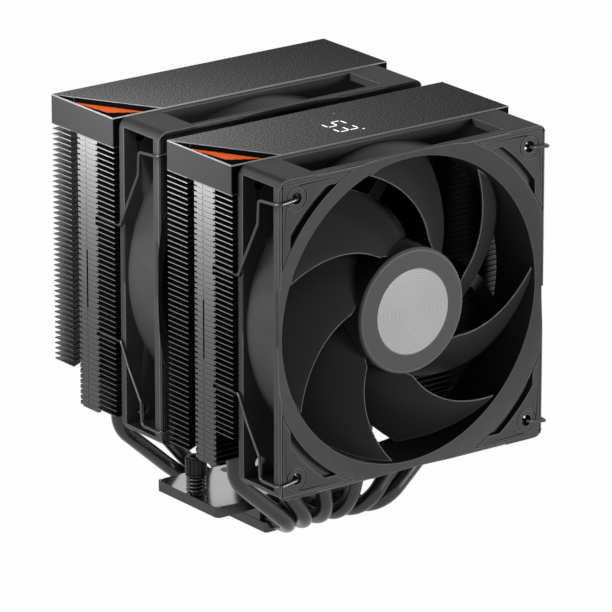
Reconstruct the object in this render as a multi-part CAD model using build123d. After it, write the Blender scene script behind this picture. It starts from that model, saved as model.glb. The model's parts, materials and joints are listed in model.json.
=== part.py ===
from build123d import *
import math
import os

os.makedirs("parts", exist_ok=True)

# Dual-tower air cooler for a computer processor, with two 120 mm fans.
# +X points right along the fan width, -Y is the intake side, +Z is up.
# The origin is the centre of the cold plate's underside.

# ---------------------------------------------------------------- driving sizes (mm)
# overall layout
cover_top_height = 157.8        # highest point above the underside of the cold plate
cover_height = 11.1
fan_axis_drop = 49.2            # fan axis below the underside of the covers
tower_depth = 39.6              # fin stack along the air flow
tower_gap = 33.6                # clear space between the two towers

# fin stacks
fin_count = 52
fin_pitch = 2.03
fin_thickness = 0.4
fin_side_inset = 0.35           # fins stand back from the side of the cover
side_wall_t = 0.5               # folded edges that close the middle of each side
side_wall_front = 10.6          # from the front of the stack to the closed wall
side_wall_length = 12.6
side_slot_back = 17.8           # narrow upright slot in the closed wall, from the front of the stack
side_slot_width = 0.9
side_slot_top = 5.8             # from the fan axis
side_slot_foot = -16.7
notch_width = 4.2               # open slot behind the closed wall
notch_depth = 5.5
notch_slant = 2.8
short_fin_count = 6             # lowest fins, cut short on the tower's outer face

# heat pipes
pipe_d = 6.0
pipe_count = 6
pipe_base_pitch = 7.3
pipe_riser_pitch = 19.0
pipe_bend_r = 12.0
pipe_rise_slope = 0.89          # rise of the slanted run for each mm sideways
pipe_least_rise = 21.0
pipe_tip_height = 5.0           # sealed tip above the top fin
pipe_tip_d = 3.0

# base
plate_width = 46.0
plate_length = 44.6
plate_t = 4.1
block_length = 37.0
block_t = 5.1
bar_length = 85.6
bar_end_width = 38.8
bar_waist_width = 34.4
bar_t = 4.1
bar_corner_r = 2.0
groove_clearance = 0.05
bar_screw_x = 14.6
bar_screw_y = 12.5
bar_screw_head_d = 5.6
bar_screw_d = 3.0
bar_screw_length = 6.0

# captive spring screws
mount_screw_x = 38.5
screw_head_d = 8.2
screw_head_h = 6.6
screw_shank_d = 5.0
screw_shank_clearance = 0.1
screw_thread_d = 2.5            # tap bore for an M3 stud
screw_thread_depth = 7.0
screw_socket_af = 4.0
screw_socket_depth = 2.6
screw_knurls = 16
knurl_depth = 0.25
washer_d = 8.0
washer_t = 0.6
spring_free_h = 6.8
spring_wire_d = 0.9
spring_d = 7.6
spring_turns = 4
clip_ring_d = 6.8
clip_ring_t = 0.8
clip_ring_groove = 0.4
clip_ring_clearance = 0.05
clip_ring_mouth = 3.0
screw_tip_inset = 0.2           # sleeve end above the underside of the bar
bar_counterbore_d = 7.4
bar_counterbore_h = 2.0
running_clearance = 0.05

# fans
fan_size = 120.0
fan_depth = 25.0
fan_hole_pitch = 105.0
fan_hole_d = 4.4
fan_hole_ring_r = 4.1           # thin groove round each corner hole
fan_corner_r = 4.0
fan_front_flange = 3.7
fan_rear_flange = 3.0
flange_bevel = 0.6
duct_r = 57.4
duct_wall = 1.2
lip_r = 63.6                    # shallow cone in front of the duct, cut by the sides of the frame
lip_depth = 2.2
rim_land = 1.0                  # flat ring round the cone, at the corners
crescent_width = 3.2            # sunk crescent outside the rim land
crescent_half_x = 55.2
crescent_half_z = 54.8
crescent_depth = 2.6
groove_width = 0.35             # fine lines in the corner plates
groove_depth = 0.5
corner_line_x = 58.9
corner_line_z = 58.3
corner_plate_length = 17.0
corner_plate_t = 3.0
motor_base_r = 23.6
motor_base_t = 2.4
strut_count = 4
strut_width = 7.0
strut_depth = 4.2
strut_root_angle = 22.0
strut_turn = -41.0              # how far a strut leans by the time it meets the duct
bearing_tube_d = 8.6
bearing_d = 6.4
bearing_tube_front = 6.0

# impellers
blade_count = 7
hub_r = 23.6
hub_front = 1.0                 # hub face behind the fan's front face
hub_depth = 18.0
hub_wall = 1.6
hub_chamfer = 0.9
shaft_boss_d = 7.2
shaft_boss_l = 2.6
disc_d = 32.0
disc_t = 0.5
disc_recess = 0.3
tip_clearance = 0.7
blade_root_angle = -36.0        # leading edge at the hub
blade_sweep = 42.0              # how far the leading edge runs ahead at the tip
blade_root_chord = 58.0         # degrees round the hub
blade_chord_linear = -45.0
blade_chord_square = 25.0
blade_front = 3.2
blade_back = 19.6
blade_t_root = 1.8
blade_t_tip = 1.2
blade_edge_t = 0.9
blade_camber = 0.075            # bulge as a share of the chord
blade_sections = 5
yoke_t = 0.8
yoke_l = 13.0
magnet_t = 1.6
magnet_l = 9.0
magnet_inset = 2.4              # magnet ring behind the front of the yoke
shaft_d = 3.0
shaft_end_gap = 0.5
stator_gap = 0.5
stator_l = 6.0
stator_poles = 4
stator_arm = 4.2
stator_pole_t = 2.2
stator_pole_gap = 7.0
coil_t = 1.6
coil_gap = 0.1
board_t = 1.0
board_r = 18.5

# wire clips
wire_d = 1.3
wire_sides = 8                  # flat sides of the modelled wire
wire_bend_r = 1.6
wire_clearance = 0.3
clip_tip_length = 3.2           # wire end inside the fan's corner hole
clip_reach = 14.5               # straight middle of the clip behind the front of the tower
clip_upper_height = 20.0        # where the wire enters the fins, from the fan axis
clip_lower_height = -24.6
clip_side_inset = 1.5           # side runs end this far in front of the fan's rear face
clip_shoulder_y = 11.0          # first bend on the side of the fan, behind its front
clip_shoulder_drop = 1.8        # below the level of the corner hole
clip_crook = 8.8                # short upright run below the shoulder
clip_crook_lean = 0.5
clip_foot_y = 18.6              # end of the lower slanted run
clip_foot_drop = 9.0
clip_foot_rise = 7.2            # lower upright run above the level of the corner hole
clip_toe_drop = 1.4             # lower run across the side, below the corner hole

# covers
cover_wall = 1.6
cover_roof = 2.0
cover_edge_r = 0.5
pocket_rim = 0.6
pocket_length = 37.4            # along the side of the cover
pocket_width = 21.4             # along the front of the cover
pocket_deep = 2.2
pocket_shallow = 0.5
pocket_floor_t = 1.4
accent_t = 0.8
accent_proud = 0.15
accent_clearance = 0.05
accent_near = 4.0               # accent back from the side of the pocket
accent_front = 5.0              # and from its front
accent_corner = 10.0            # start of the accent along the side
accent_right = 17.5             # its right-hand tip
accent_back = 30.4              # its rear tip

# display
digit_height = 11.4
digit_width = 3.9               # between the centres of the side strokes
digit_pitch = 4.6
digit_upper_share = 0.46        # height of the middle stroke from the top
segment_width = 0.9
segment_break = 0.3
display_x = -2.55
display_y = 16.1                # middle of the digits behind the front of the cover
segment_clearance = 0.03
display_board_t = 1.2
display_board_width = 22.0
display_board_length = 27.0
degree_mark_x = 5.2
degree_mark_y = 30.1
degree_mark_d = 1.4
point_x = 2.6
point_y = 8.7
shown_digits = ("afgedc", "abcdef")     # lit strokes of a six and a nought, lettered a to g

# ---------------------------------------------------------------- derived places
tower_inner = tower_gap / 2
tower_outer = tower_inner + tower_depth
tower_mid = tower_inner + tower_depth / 2
front_tower_y = -tower_outer                 # front plane of the front tower
rear_tower_y = tower_inner                   # front plane of the rear tower
front_fan_y = front_tower_y - fan_depth      # front plane of the front fan
middle_fan_y = rear_tower_y - fan_depth

cover_bottom = cover_top_height - cover_height
fan_axis_height = cover_bottom - fan_axis_drop
wire_r = wire_d / 2
clip_x = fan_size / 2 + wire_clearance + wire_r      # the wire runs just outside the fan
fin_half_width = clip_x + wire_r + wire_clearance + side_wall_t
cover_width = 2 * (fin_half_width + fin_side_inset)
stack_height = fin_count * fin_pitch
stack_bottom = cover_bottom - stack_height

pipe_z = plate_t
block_bottom = plate_t
bar_bottom = block_bottom + block_t
bar_top = bar_bottom + bar_t
pipe_base_x = [(i - (pipe_count - 1) / 2) * pipe_base_pitch for i in range(pipe_count)]
pipe_riser_x = [(i - (pipe_count - 1) / 2) * pipe_riser_pitch for i in range(pipe_count)]

spring_bottom = bar_top
spring_top = spring_bottom + spring_free_h
screw_head_bottom = spring_top + washer_t
screw_bottom = bar_bottom + screw_tip_inset
clip_ring_top = bar_bottom + bar_counterbore_h

side_wall_back = side_wall_front + side_wall_length

hub_inner_r = hub_r - hub_wall
hub_inner_front = hub_front + hub_wall
hub_back = hub_front + hub_depth
magnet_inner_r = hub_inner_r - yoke_t - magnet_t
magnet_front = hub_inner_front + magnet_inset
stator_r = magnet_inner_r - stator_gap
stator_front = magnet_front + (magnet_l - stator_l) / 2
blade_tip_r = duct_r - tip_clearance
motor_base_front = fan_depth - motor_base_t
shaft_end = motor_base_front - shaft_end_gap


# ---------------------------------------------------------------- helpers
def keep(name, shape):
    """Write one node."""
    export_step(shape, f"parts/{name}.step")


def slab(sketch, y_front, y_back):
    """A drawing in the XZ plane as a solid between two Y planes."""
    return extrude(Plane.XZ.offset(-y_back) * sketch, amount=y_back - y_front)


def upright(sketch, z_low, z_high):
    """A drawing in the XY plane as a solid between two heights."""
    return extrude(Pos(0, 0, z_low) * sketch, amount=z_high - z_low)


def bar_y(radius, y_front, y_back):
    """A round bar along Y."""
    return slab(Circle(radius), y_front, y_back)


def ring_y(outer, inner, y_front, y_back):
    """A tube along Y."""
    return slab(Circle(outer) - Circle(inner), y_front, y_back)


def polar(radius, degrees):
    """A point in the XZ drawing of a fan."""
    return (radius * math.cos(math.radians(degrees)), radius * math.sin(math.radians(degrees)))


def cone_y(r_front, r_back, y_front, y_back):
    """A tapered bar along Y."""
    base = Plane(origin=(0, y_back, 0), z_dir=(0, -1, 0))
    return Solid.make_cone(r_back, r_front, y_back - y_front, base)


def turned(shape, degrees):
    """A fan piece turned about the fan axis, the way the impeller runs."""
    return shape.rotate(Axis((0, 0, 0), (0, -1, 0)), degrees)


def corners(pitch):
    """The four corner places of a square pattern."""
    return [(x * pitch / 2, z * pitch / 2) for x in (-1, 1) for z in (-1, 1)]


def thin_wire(path, diameter):
    """Round wire along a path, with flat sides in place of a true round to keep it light."""
    start = Plane(origin=path @ 0, z_dir=path % 0)
    return sweep(start * RegularPolygon(diameter / 2, wire_sides), path=path)


def mirrored_x(shape):
    return mirror(shape, about=Plane.YZ)


def fin_gap_height(height):
    """Middle of the gap between two fins that is nearest to a height."""
    gap_mid = stack_bottom + (fin_pitch - fin_thickness) / 2
    return gap_mid + round((height - gap_mid) / fin_pitch) * fin_pitch


# ---------------------------------------------------------------- base
def cold_plate():
    plate = Pos(0, 0, plate_t / 2) * Box(plate_width, plate_length, plate_t)
    plate = chamfer(plate.edges().filter_by(Axis.Z), 0.8)
    for x in pipe_base_x:
        plate -= Pos(x, 0, pipe_z) * bar_y(pipe_d / 2 + groove_clearance, -plate_length, plate_length)
    return plate


def base_block():
    block = Pos(0, 0, block_bottom + block_t / 2) * Box(plate_width, block_length, block_t)
    for x in pipe_base_x:
        block -= Pos(x, 0, pipe_z) * bar_y(pipe_d / 2 + groove_clearance, -plate_length, plate_length)
    for place in bar_screw_places():
        block -= place * Cylinder(bar_screw_d / 2, 4 * block_t)
    return block


def bar_screw_places():
    return [Pos(x * bar_screw_x, y * bar_screw_y, 0) for x in (-1, 1) for y in (-1, 1)]


def mounting_bar():
    half = bar_length / 2
    end = bar_end_width / 2
    waist = bar_waist_width / 2
    pad = half - mount_screw_x + screw_head_d
    outline = Polyline((-half + pad, end), (-half, end), (-half, -end), (-half + pad, -end))
    outline += ThreePointArc((-half + pad, -end), (0, -waist), (half - pad, -end))
    outline += Polyline((half - pad, -end), (half, -end), (half, end), (half - pad, end))
    outline += ThreePointArc((half - pad, end), (0, waist), (-half + pad, end))
    bar = upright(make_face(outline), bar_bottom, bar_top)
    corners = bar.edges().filter_by(Axis.Z).filter_by(lambda e: abs(e.center().X) > half - 0.1)
    bar = fillet(corners, bar_corner_r)
    for side in (-1, 1):
        bar -= Pos(side * mount_screw_x, 0, 0) * Cylinder(
            screw_shank_d / 2 + screw_shank_clearance, 4 * bar_top)
        bar -= Pos(side * mount_screw_x, 0, bar_bottom) * Cylinder(
            bar_counterbore_d / 2, 2 * bar_counterbore_h)
    for place in bar_screw_places():
        bar -= place * Pos(0, 0, bar_top) * countersunk_screw(groove_clearance)
    return bar


def countersunk_screw(extra):
    """A flat-headed screw, its head at z = 0."""
    head_h = (bar_screw_head_d - bar_screw_d) / 2
    head = Pos(0, 0, -head_h / 2) * Cone(bar_screw_d / 2 + extra, bar_screw_head_d / 2 + extra, head_h)
    shank = Pos(0, 0, -bar_screw_length / 2) * Cylinder(bar_screw_d / 2 + extra, bar_screw_length)
    return head + shank


def bar_screws():
    screw = countersunk_screw(0) - Box(bar_screw_d, 0.8, 1.6)
    return Compound([place * Pos(0, 0, bar_top) * screw for place in bar_screw_places()])


def heat_pipe(index):
    """One U-shaped pipe: up the front tower, through the base, up the rear tower."""
    base_x = pipe_base_x[index]
    riser_x = pipe_riser_x[index]
    rise = max(pipe_rise_slope * abs(riser_x - base_x), pipe_least_rise)
    top = cover_bottom + pipe_tip_height - pipe_d / 2
    points = [
        (riser_x, -tower_mid, top),
        (riser_x, -tower_mid, pipe_z + rise),
        (base_x, -tower_mid, pipe_z),
        (base_x, tower_mid, pipe_z),
        (riser_x, tower_mid, pipe_z + rise),
        (riser_x, tower_mid, top),
    ]
    path = FilletPolyline(*points, radius=pipe_bend_r)
    pipe = sweep(Plane(origin=path @ 0, z_dir=path % 0) * Circle(pipe_d / 2), path=path)
    for y in (-tower_mid, tower_mid):
        pipe += Pos(riser_x, y, top + pipe_d / 4) * Cone(pipe_d / 2, pipe_tip_d / 2, pipe_d / 2)
    return pipe


# ---------------------------------------------------------------- fin stacks
def side_notch():
    """Slanted slot behind the closed wall on the left side, for a tower that starts at y = 0."""
    x_out = -fin_half_width - 1
    x_in = -fin_half_width + notch_depth
    y_in = side_wall_back + notch_slant
    return make_face(Polyline(
        (x_out, side_wall_back), (-fin_half_width, side_wall_back), (x_in, y_in),
        (x_in, y_in + notch_width), (-fin_half_width, side_wall_back + notch_width),
        (x_out, side_wall_back + notch_width), close=True))


def clip_channel():
    """Room inside the left wall for the straight middle of a wire clip."""
    low = fin_gap_height(fan_axis_height + clip_lower_height) - wire_r - wire_clearance
    high = fin_gap_height(fan_axis_height + clip_upper_height) + wire_r + wire_clearance
    front = clip_reach - wire_bend_r
    back = clip_reach + wire_r + wire_clearance
    return Pos(-clip_x, (front + back) / 2, (low + high) / 2) * Box(
        wire_d + 2 * wire_clearance, back - front, high - low)


def fin_stack(short_at_front):
    """Fins joined by the folded walls on both sides, for a tower that starts at y = 0."""
    ladder = Rectangle(2 * fin_half_width, stack_height, align=(Align.CENTER, Align.MIN))
    gap = Rectangle(2 * (fin_half_width - side_wall_t), fin_pitch - fin_thickness,
                    align=(Align.CENTER, Align.MIN))
    ladder -= [Pos(0, i * fin_pitch) * gap for i in range(fin_count)]
    stack = Pos(0, 0, stack_bottom) * slab(ladder, 0, tower_depth)

    tall = 2 * stack_height
    slot_mid = fan_axis_height + (side_slot_top + side_slot_foot) / 2
    cutters = []
    for side in (-1, 1):
        cutters.append(Pos(side * fin_half_width, side_slot_back, slot_mid) * Box(
            3 * side_wall_t, side_slot_width, side_slot_top - side_slot_foot))
        cutters.append(Pos(side * fin_half_width, side_wall_front / 2, fan_axis_height) * Box(
            2 * side_wall_t, side_wall_front, tall))
        cutters.append(Pos(side * fin_half_width, (side_wall_back + tower_depth) / 2, fan_axis_height) * Box(
            2 * side_wall_t, tower_depth - side_wall_back, tall))
    notch = upright(side_notch(), stack_bottom - 1, cover_bottom + 1)
    channel = clip_channel()
    cutters += [notch, mirrored_x(notch), channel, mirrored_x(channel)]
    short_from = 0 if short_at_front else side_wall_back
    short_to = side_wall_front if short_at_front else tower_depth
    cutters.append(Pos(0, (short_from + short_to) / 2, stack_bottom) * Box(
        cover_width, short_to - short_from, 2 * short_fin_count * fin_pitch))
    return stack - cutters


# ---------------------------------------------------------------- captive spring screws
def screw_sleeve():
    """A knurled nut on a sleeve that takes the threaded stud of the mount from below."""
    head_top = screw_head_bottom + screw_head_h
    head = Pos(0, 0, screw_head_bottom + screw_head_h / 2) * Cylinder(screw_head_d / 2, screw_head_h)
    head = chamfer(head.edges(), 2 * knurl_depth)
    groove = upright(Rectangle(4 * knurl_depth, 2 * knurl_depth), screw_head_bottom, head_top)
    head -= PolarLocations(screw_head_d / 2, screw_knurls) * groove
    shank = upright(Circle(screw_shank_d / 2), screw_bottom, screw_head_bottom)
    seat_low = clip_ring_top - clip_ring_t - clip_ring_clearance
    seat = Circle(screw_shank_d) - Circle(screw_shank_d / 2 - clip_ring_groove)
    sleeve = head + shank - upright(seat, seat_low, clip_ring_top)
    sleeve -= upright(Circle(screw_thread_d / 2), screw_bottom - 1, screw_bottom + screw_thread_depth)
    sleeve -= upright(RegularPolygon(screw_socket_af / math.sqrt(3), 6), head_top - screw_socket_depth, head_top + 1)
    return sleeve


def clip_ring():
    """The open ring that keeps the sleeve in the bar."""
    inner = screw_shank_d / 2 - clip_ring_groove + clip_ring_clearance
    mouth = Rectangle(clip_ring_mouth, clip_ring_d, align=(Align.CENTER, Align.MIN))
    ring = Circle(clip_ring_d / 2) - Circle(inner) - mouth
    return upright(ring, clip_ring_top - clip_ring_t, clip_ring_top)


def screw_washer():
    ring = Circle(washer_d / 2) - Circle(screw_shank_d / 2 + running_clearance)
    return upright(ring, spring_top, screw_head_bottom)


def screw_spring():
    """A coil spring from the bar to the washer."""
    coil_r = (spring_d - spring_wire_d) / 2
    rise = spring_free_h - spring_wire_d
    path = Pos(0, 0, spring_bottom + spring_wire_d / 2) * Helix(rise / spring_turns, rise, coil_r)
    return thin_wire(path, spring_wire_d)


# ---------------------------------------------------------------- fans, each with its front at y = 0
def strut():
    """One curved arm from the motor base to the duct."""
    radii = (motor_base_r - 2, (motor_base_r + duct_r) / 2, duct_r + duct_wall / 2)
    reach = duct_r - motor_base_r
    angles = [strut_root_angle + strut_turn * (r - motor_base_r) / reach for r in radii]
    edges = []
    for side in (-1, 1):
        edges.append([polar(r, a + side * math.degrees(strut_width / 2 / r)) for r, a in zip(radii, angles)])
    outline = ThreePointArc(*edges[0]) + Line(edges[0][2], edges[1][2])
    outline += ThreePointArc(*reversed(edges[1])) + Line(edges[1][0], edges[0][0])
    return slab(make_face(outline), fan_depth - strut_depth, fan_depth)


def corner_plates():
    """The flat land outside the rim, in each corner of the front face."""
    return Rectangle(2 * corner_line_x, 2 * corner_line_z) - Circle(lip_r + rim_land)


def crescents():
    """Sunk crescents between the rim and the corner holes."""
    band = Circle(lip_r + rim_land + crescent_width) - Circle(lip_r + rim_land)
    return band & Rectangle(2 * crescent_half_x, 2 * crescent_half_z)


def fan_frame():
    square = RectangleRounded(fan_size, fan_size, fan_corner_r)
    front = slab(square, 0, fan_front_flange)
    front = chamfer(front.faces().sort_by(Axis.Y)[0].edges(), flange_bevel)
    frame = front + slab(square, fan_depth - fan_rear_flange, fan_depth)
    frame += bar_y(duct_r + duct_wall, 0, fan_depth)
    plate_x = (fan_size - corner_plate_length) / 2
    plate_z = (fan_size - corner_plate_t) / 2
    for x in (-1, 1):
        for z in (-1, 1):
            plate = Pos(x * plate_x, z * plate_z) * Rectangle(corner_plate_length, corner_plate_t)
            frame += slab(plate & square, 0, fan_depth)
    frame -= bar_y(duct_r, -1, fan_depth + 1)
    frame -= cone_y(lip_r, duct_r, 0, lip_depth)
    plates = corner_plates()
    frame -= slab(plates - offset(plates, amount=-groove_width), -1, groove_depth)
    frame -= slab(crescents(), -1, crescent_depth)
    for x, z in corners(fan_hole_pitch):
        frame -= Pos(x, 0, z) * bar_y(fan_hole_d / 2, -1, fan_depth + 1)
        frame -= Pos(x, 0, z) * ring_y(fan_hole_ring_r + groove_width, fan_hole_ring_r, -1, groove_depth)
    arm = strut()
    for turn in range(strut_count):
        frame += turned(arm, 360 / strut_count * turn)
    frame += bar_y(motor_base_r, motor_base_front, fan_depth)
    frame += bar_y(bearing_tube_d / 2, bearing_tube_front, fan_depth)
    frame -= bar_y(bearing_d / 2, bearing_tube_front - 1, motor_base_front)
    return frame


def blade_edges(radius):
    """Angles of the leading and trailing edge at a radius."""
    along = (radius - hub_r) / (blade_tip_r - hub_r)
    lead = blade_root_angle + blade_sweep * along
    chord = blade_root_chord + blade_chord_linear * along + blade_chord_square * along ** 2
    return lead, lead - chord


def blade_section(distance):
    """A flat section of the blade, square to the radius through its middle."""
    middle = sum(blade_edges(distance)) / 2
    spans = [0, 0]
    for which in (0, 1):
        for _ in range(6):
            radius = distance / math.cos(math.radians(spans[which]))
            spans[which] = blade_edges(radius)[which] - middle
    share = (distance - hub_r) / (blade_tip_r - hub_r)
    thickness = blade_t_root + (blade_t_tip - blade_t_root) * share
    lead = Vector(distance * math.tan(math.radians(spans[0])), blade_front)
    trail = Vector(distance * math.tan(math.radians(spans[1])), blade_back)
    chord = trail - lead
    normal = Vector(chord.Y, -chord.X).normalized()
    if normal.Y > 0:
        normal = normal * -1
    belly = (lead + trail) * 0.5 + normal * (blade_camber * chord.length)
    half = normal * (thickness / 2)
    edge = normal * (blade_edge_t / 2)
    upper = ThreePointArc(lead + edge, belly + half, trail + edge)
    lower = ThreePointArc(trail - edge, belly - half, lead - edge)
    outline = upper + Line(trail + edge, trail - edge) + lower + Line(lead - edge, lead + edge)
    out = Vector(*[math.cos(math.radians(middle)), 0, math.sin(math.radians(middle))])
    round_way = Vector(-math.sin(math.radians(middle)), 0, math.cos(math.radians(middle)))
    plane = Plane(origin=out * distance, x_dir=round_way, z_dir=round_way.cross(Vector(0, 1, 0)))
    return plane * make_face(outline)


def blade():
    inner = hub_inner_r - hub_wall
    outer = blade_tip_r + 1
    step = (outer - inner) / (blade_sections - 1)
    sections = [blade_section(inner + i * step) for i in range(blade_sections)]
    whole = loft(sections)
    return whole & ring_y(blade_tip_r, hub_inner_r + hub_wall / 2, 0, fan_depth)


def impeller():
    cup = bar_y(hub_r, hub_front, hub_back)
    cup = chamfer(cup.faces().sort_by(Axis.Y)[0].edges(), hub_chamfer)
    cup -= bar_y(hub_inner_r, hub_inner_front, hub_back + 1)
    cup -= bar_y(disc_d / 2, 0, hub_front + disc_recess)
    cup += bar_y(shaft_boss_d / 2, hub_inner_front - hub_wall / 2, hub_inner_front + shaft_boss_l)
    cup -= bar_y(shaft_d / 2, hub_inner_front, hub_back)
    one = blade()
    for index in range(blade_count):
        cup += turned(one, 360 / blade_count * index)
    return cup


def hub_disc():
    floor = hub_front + disc_recess
    return bar_y(disc_d / 2, floor - disc_t, floor)


def motor_shaft():
    return bar_y(shaft_d / 2, hub_inner_front, shaft_end)


def motor_bearing():
    return ring_y(bearing_d / 2, shaft_d / 2 + running_clearance, bearing_tube_front, motor_base_front)


def motor_yoke():
    return ring_y(hub_inner_r, hub_inner_r - yoke_t, hub_inner_front, hub_inner_front + yoke_l)


def magnet_ring():
    return ring_y(hub_inner_r - yoke_t, magnet_inner_r, magnet_front, magnet_front + magnet_l)


def stator_core():
    core = Circle(bearing_tube_d / 2 + stator_arm / 2) - Circle(bearing_tube_d / 2)
    rim = Circle(stator_r) - Circle(stator_r - stator_pole_t)
    arm_length = stator_r - stator_pole_t / 2 - bearing_tube_d / 2 - 1
    arm = Rectangle(arm_length, stator_arm, align=(Align.MIN, Align.CENTER))
    gap = Rectangle(2 * stator_r, stator_pole_gap, align=(Align.MIN, Align.CENTER))
    for index in range(stator_poles):
        turn = 360 / stator_poles * index
        rim -= Rot(0, 0, turn + 180 / stator_poles) * gap
        core += Rot(0, 0, turn) * (Pos(bearing_tube_d / 2 + 1, 0) * arm)
    return slab(core + rim, stator_front, stator_front + stator_l)


def stator_coils():
    """One winding round each arm."""
    inner = bearing_tube_d / 2 + stator_arm / 2 + coil_gap
    width = stator_arm + 2 * coil_t
    outer = math.sqrt((stator_r - stator_pole_t) ** 2 - (width / 2) ** 2) - coil_gap
    height = stator_l + 2 * coil_t
    mid_y = stator_front + stator_l / 2
    coil = Box(outer - inner, height, width) - Box(
        outer, stator_l + 2 * coil_gap, stator_arm + 2 * coil_gap)
    coil = Pos((inner + outer) / 2, mid_y, 0) * coil
    return Compound([turned(coil, 360 / stator_poles * i) for i in range(stator_poles)])


def circuit_board():
    return ring_y(board_r, bearing_tube_d / 2, motor_base_front - board_t, motor_base_front)


def wire_clip():
    """The left clip: from the fan's upper corner hole, round the fan, into the fins and back."""
    corner = fan_hole_pitch / 2
    front = -wire_r - wire_clearance
    upper = fin_gap_height(fan_axis_height + clip_upper_height) - fan_axis_height
    lower = fin_gap_height(fan_axis_height + clip_lower_height) - fan_axis_height
    behind = fan_depth + clip_reach
    points = [
        (-corner, clip_tip_length, corner),
        (-corner, front, corner),
        (-clip_x, front, corner - clip_shoulder_drop / 2),
        (-clip_x, clip_shoulder_y, corner - clip_shoulder_drop),
        (-clip_x, clip_shoulder_y + clip_crook_lean, corner - clip_shoulder_drop - clip_crook),
        (-clip_x, fan_depth - clip_side_inset, upper),
        (-clip_x, behind, upper),
        (-clip_x, behind, lower),
        (-clip_x, fan_depth - clip_side_inset, lower),
        (-clip_x, clip_foot_y, lower - clip_foot_drop),
        (-clip_x, clip_shoulder_y, clip_foot_rise - corner),
        (-clip_x, clip_shoulder_y - clip_crook_lean, -clip_toe_drop - corner),
        (-clip_x, front, -clip_toe_drop - corner),
        (-corner, front, -corner),
        (-corner, clip_tip_length, -corner),
    ]
    return thin_wire(FilletPolyline(*points, radius=wire_bend_r), wire_d)


# ---------------------------------------------------------------- covers, each with its top at z = 0
def pocket_corner():
    return (pocket_rim - cover_width / 2, pocket_rim)


def pocket_outline():
    x, y = pocket_corner()
    return make_face(Polyline((x, y), (x + pocket_width, y), (x, y + pocket_length), close=True))


def pocket_floor(lift):
    """The sloping floor of the pocket, raised by lift."""
    x, y = pocket_corner()
    shallow = Vector(x, y, lift - pocket_shallow)
    right = Vector(x + pocket_width, y, lift - pocket_deep)
    back = Vector(x, y + pocket_length, lift - pocket_deep)
    return Plane(origin=shallow, z_dir=(right - shallow).cross(back - shallow))


def above(shape, plane):
    return split(shape, bisect_by=plane, keep=Keep.TOP)


def accent_outline(extra):
    x, y = pocket_corner()
    shape = make_face(Polyline(
        (x + accent_near + 1, y + accent_corner), (x + accent_right, y + accent_front),
        (x + accent_near, y + accent_back), close=True))
    return offset(shape, amount=extra, kind=Kind.INTERSECTION) if extra else shape


def accent_strip():
    strip = above(upright(accent_outline(0), -cover_height, 0), pocket_floor(accent_proud - accent_t))
    return split(strip, bisect_by=pocket_floor(accent_proud), keep=Keep.BOTTOM)


def plain_cover():
    """A hollow cap with a sunk corner, for a tower that starts at y = 0."""
    cap = Pos(0, tower_depth / 2, -cover_height / 2) * Box(cover_width, tower_depth, cover_height)
    cap = fillet(cap.edges().filter_by(Axis.Z), cover_edge_r)
    cap = chamfer(cap.faces().sort_by(Axis.Z)[-1].edges(), cover_edge_r / 2)
    hollow_h = cover_height - cover_roof
    hollow = Pos(0, tower_depth / 2, -cover_roof - hollow_h / 2 - 0.5) * Box(
        cover_width - 2 * cover_wall, tower_depth - 2 * cover_wall, hollow_h + 1)
    under_pocket = offset(pocket_outline(), amount=pocket_floor_t, kind=Kind.INTERSECTION)
    hollow -= upright(under_pocket, -pocket_deep - pocket_floor_t, 0)
    cap -= hollow
    cap -= above(upright(pocket_outline(), -cover_height, 1), pocket_floor(0))
    cap -= above(upright(accent_outline(accent_clearance), -cover_height, 1),
                 pocket_floor(accent_proud - accent_t))
    return cap


def digit_strokes(letters):
    """The lit strokes of one digit, centred on the origin."""
    half_w = digit_width / 2
    top = digit_height / 2
    mid = top - digit_height * digit_upper_share
    low = -digit_height / 2
    across = digit_width - segment_width - 2 * segment_break
    upper = (top + mid) / 2
    lower = (mid + low) / 2
    upper_l = top - mid - segment_width - 2 * segment_break
    lower_l = mid - low - segment_width - 2 * segment_break
    strokes = {
        "a": (0, top, across, segment_width),
        "b": (half_w, upper, segment_width, upper_l),
        "c": (half_w, lower, segment_width, lower_l),
        "d": (0, low, across, segment_width),
        "e": (-half_w, lower, segment_width, lower_l),
        "f": (-half_w, upper, segment_width, upper_l),
        "g": (0, mid, across, segment_width),
    }
    return [strokes[letter] for letter in letters]


def display_marks(extra):
    """Every lit mark as a flat outline, grown by extra on all sides."""
    marks = []
    for index, letters in enumerate(shown_digits):
        x_mid = display_x + (index - (len(shown_digits) - 1) / 2) * digit_pitch
        for x, y, width, length in digit_strokes(letters):
            marks.append(Pos(x_mid + x, display_y + y) * Rectangle(width + 2 * extra, length + 2 * extra))
    marks.append(Pos(point_x, point_y) * Circle(segment_width / 2 + extra))
    marks.append(Pos(degree_mark_x, degree_mark_y) * RegularPolygon(degree_mark_d / 2 + 2 * extra, 3))
    return marks


def display_segments():
    return Compound([upright(mark, -cover_roof, 0) for mark in display_marks(0)])


def front_cover():
    cover = plain_cover()
    return cover - [upright(mark, -cover_height, 1) for mark in display_marks(segment_clearance)]


def display_board():
    return Pos(display_x, display_y + 1, -cover_roof - display_board_t / 2) * Box(
        display_board_width, display_board_length, display_board_t)


# ---------------------------------------------------------------- write every node
keep("cold_plate", cold_plate())
keep("base_block", base_block())
keep("mounting_bar", mounting_bar())
keep("bar_screws", bar_screws())
for index in range(pipe_count):
    keep(f"heat_pipe_{index + 1}", heat_pipe(index))
keep("front_fin_stack", Pos(0, front_tower_y, 0) * fin_stack(True))
keep("rear_fin_stack", Pos(0, rear_tower_y, 0) * fin_stack(False))

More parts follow.
